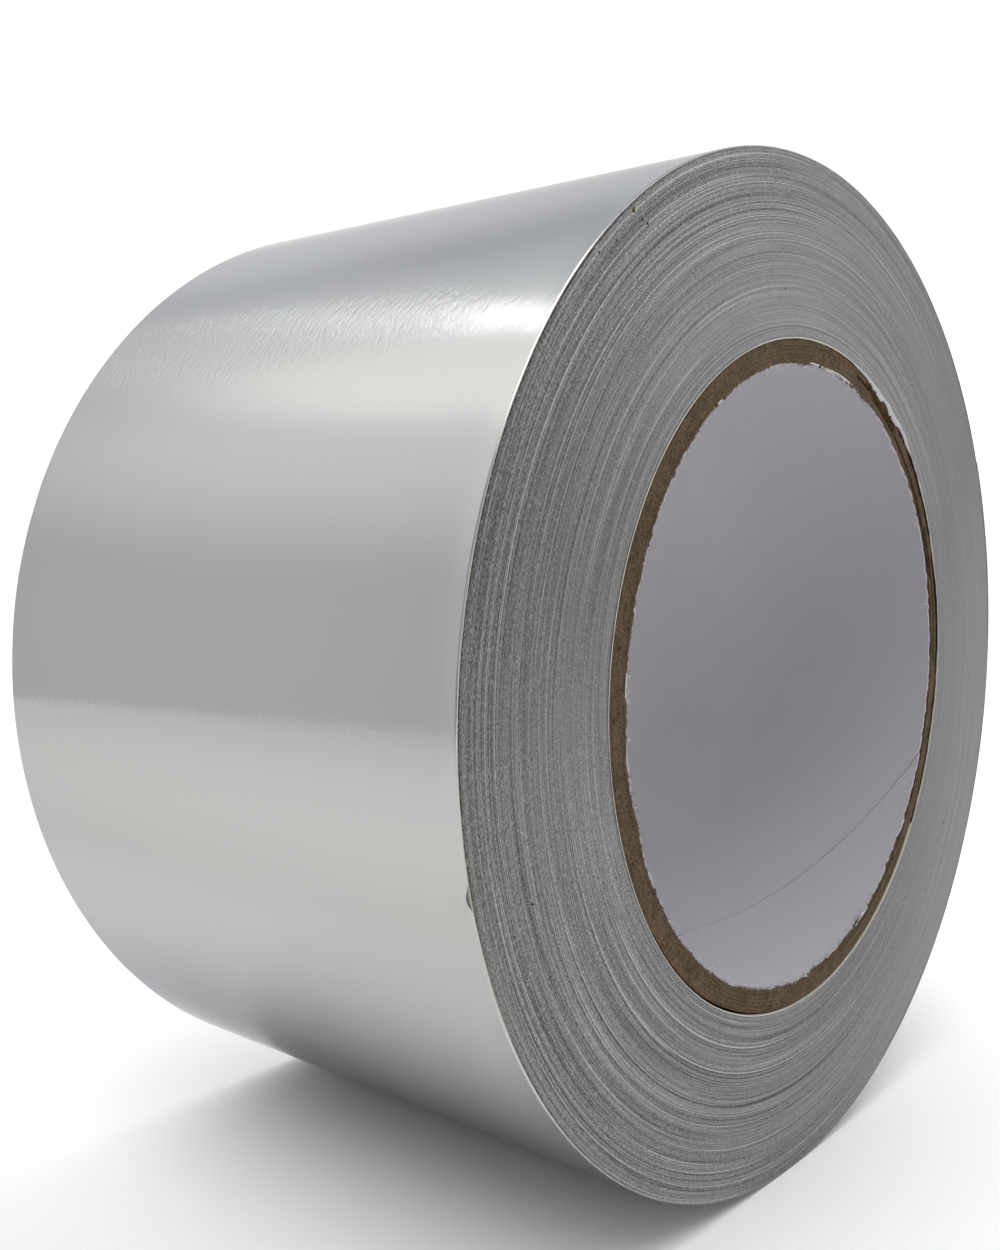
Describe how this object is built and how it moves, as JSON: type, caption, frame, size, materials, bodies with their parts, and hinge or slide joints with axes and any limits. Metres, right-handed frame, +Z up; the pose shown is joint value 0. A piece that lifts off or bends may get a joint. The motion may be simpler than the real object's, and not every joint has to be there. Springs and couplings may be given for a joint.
{
  "type": "foil tape roll",
  "caption": "Wide roll of aluminium foil tape with a release liner, wound on a thick paper core, with a free end that lifts and peels.",
  "frame": {"origin": "centre of the core's bore, half-way across the tape's width", "axes": "+Y along the bore from the open end seen in the picture to the far end, +Z up, +X to the right seen from that open end"},
  "size_m": [0.1265, 0.0762, 0.1265],
  "materials": {
    "foil": "satin rolled foil, fine lines along the web",
    "wound_edges": "matte slit edges in fine concentric lines",
    "adhesive": "clear acrylic film, slightly milky",
    "release_liner": "smooth coated white paper",
    "white_paper": "uncoated white paper, torn at the mouth",
    "chipboard": "fibrous grey-brown board",
    "kraft_paper": "brown kraft paper"
  },
  "bodies": {
    "roll": {"core_inner_ply": "white_paper", "core_body_ply_1": "chipboard", "core_body_ply_2": "chipboard", "core_body_ply_3": "chipboard", "core_body_ply_4": "chipboard", "core_body_ply_5": "chipboard", "core_outer_ply": "kraft_paper", "first_wrap_liner": "release_liner", "first_wrap_adhesive": "adhesive", "first_wrap_foil": "foil", "wound_pack": "wound_edges", "last_wrap_liner": "release_liner", "last_wrap_adhesive": "adhesive", "last_wrap_foil": "foil"},
    "foil_flap": {"tail_adhesive": "adhesive", "tail_foil": "foil"},
    "liner_flap": {"tail_liner": "release_liner"}
  },
  "joints": [
    {"name": "tail_lift", "type": "hinge", "parent": "roll", "child": "liner_flap", "pos_m": [0.06335, 0, 0], "axis": [0, 1, 0], "range_deg": [0, 70]},
    {"name": "foil_peel", "type": "hinge", "parent": "liner_flap", "child": "foil_flap", "pos_m": [0.06335, 0, 0], "axis": [0, 1, 0], "range_deg": [0, 80]}
  ]
}
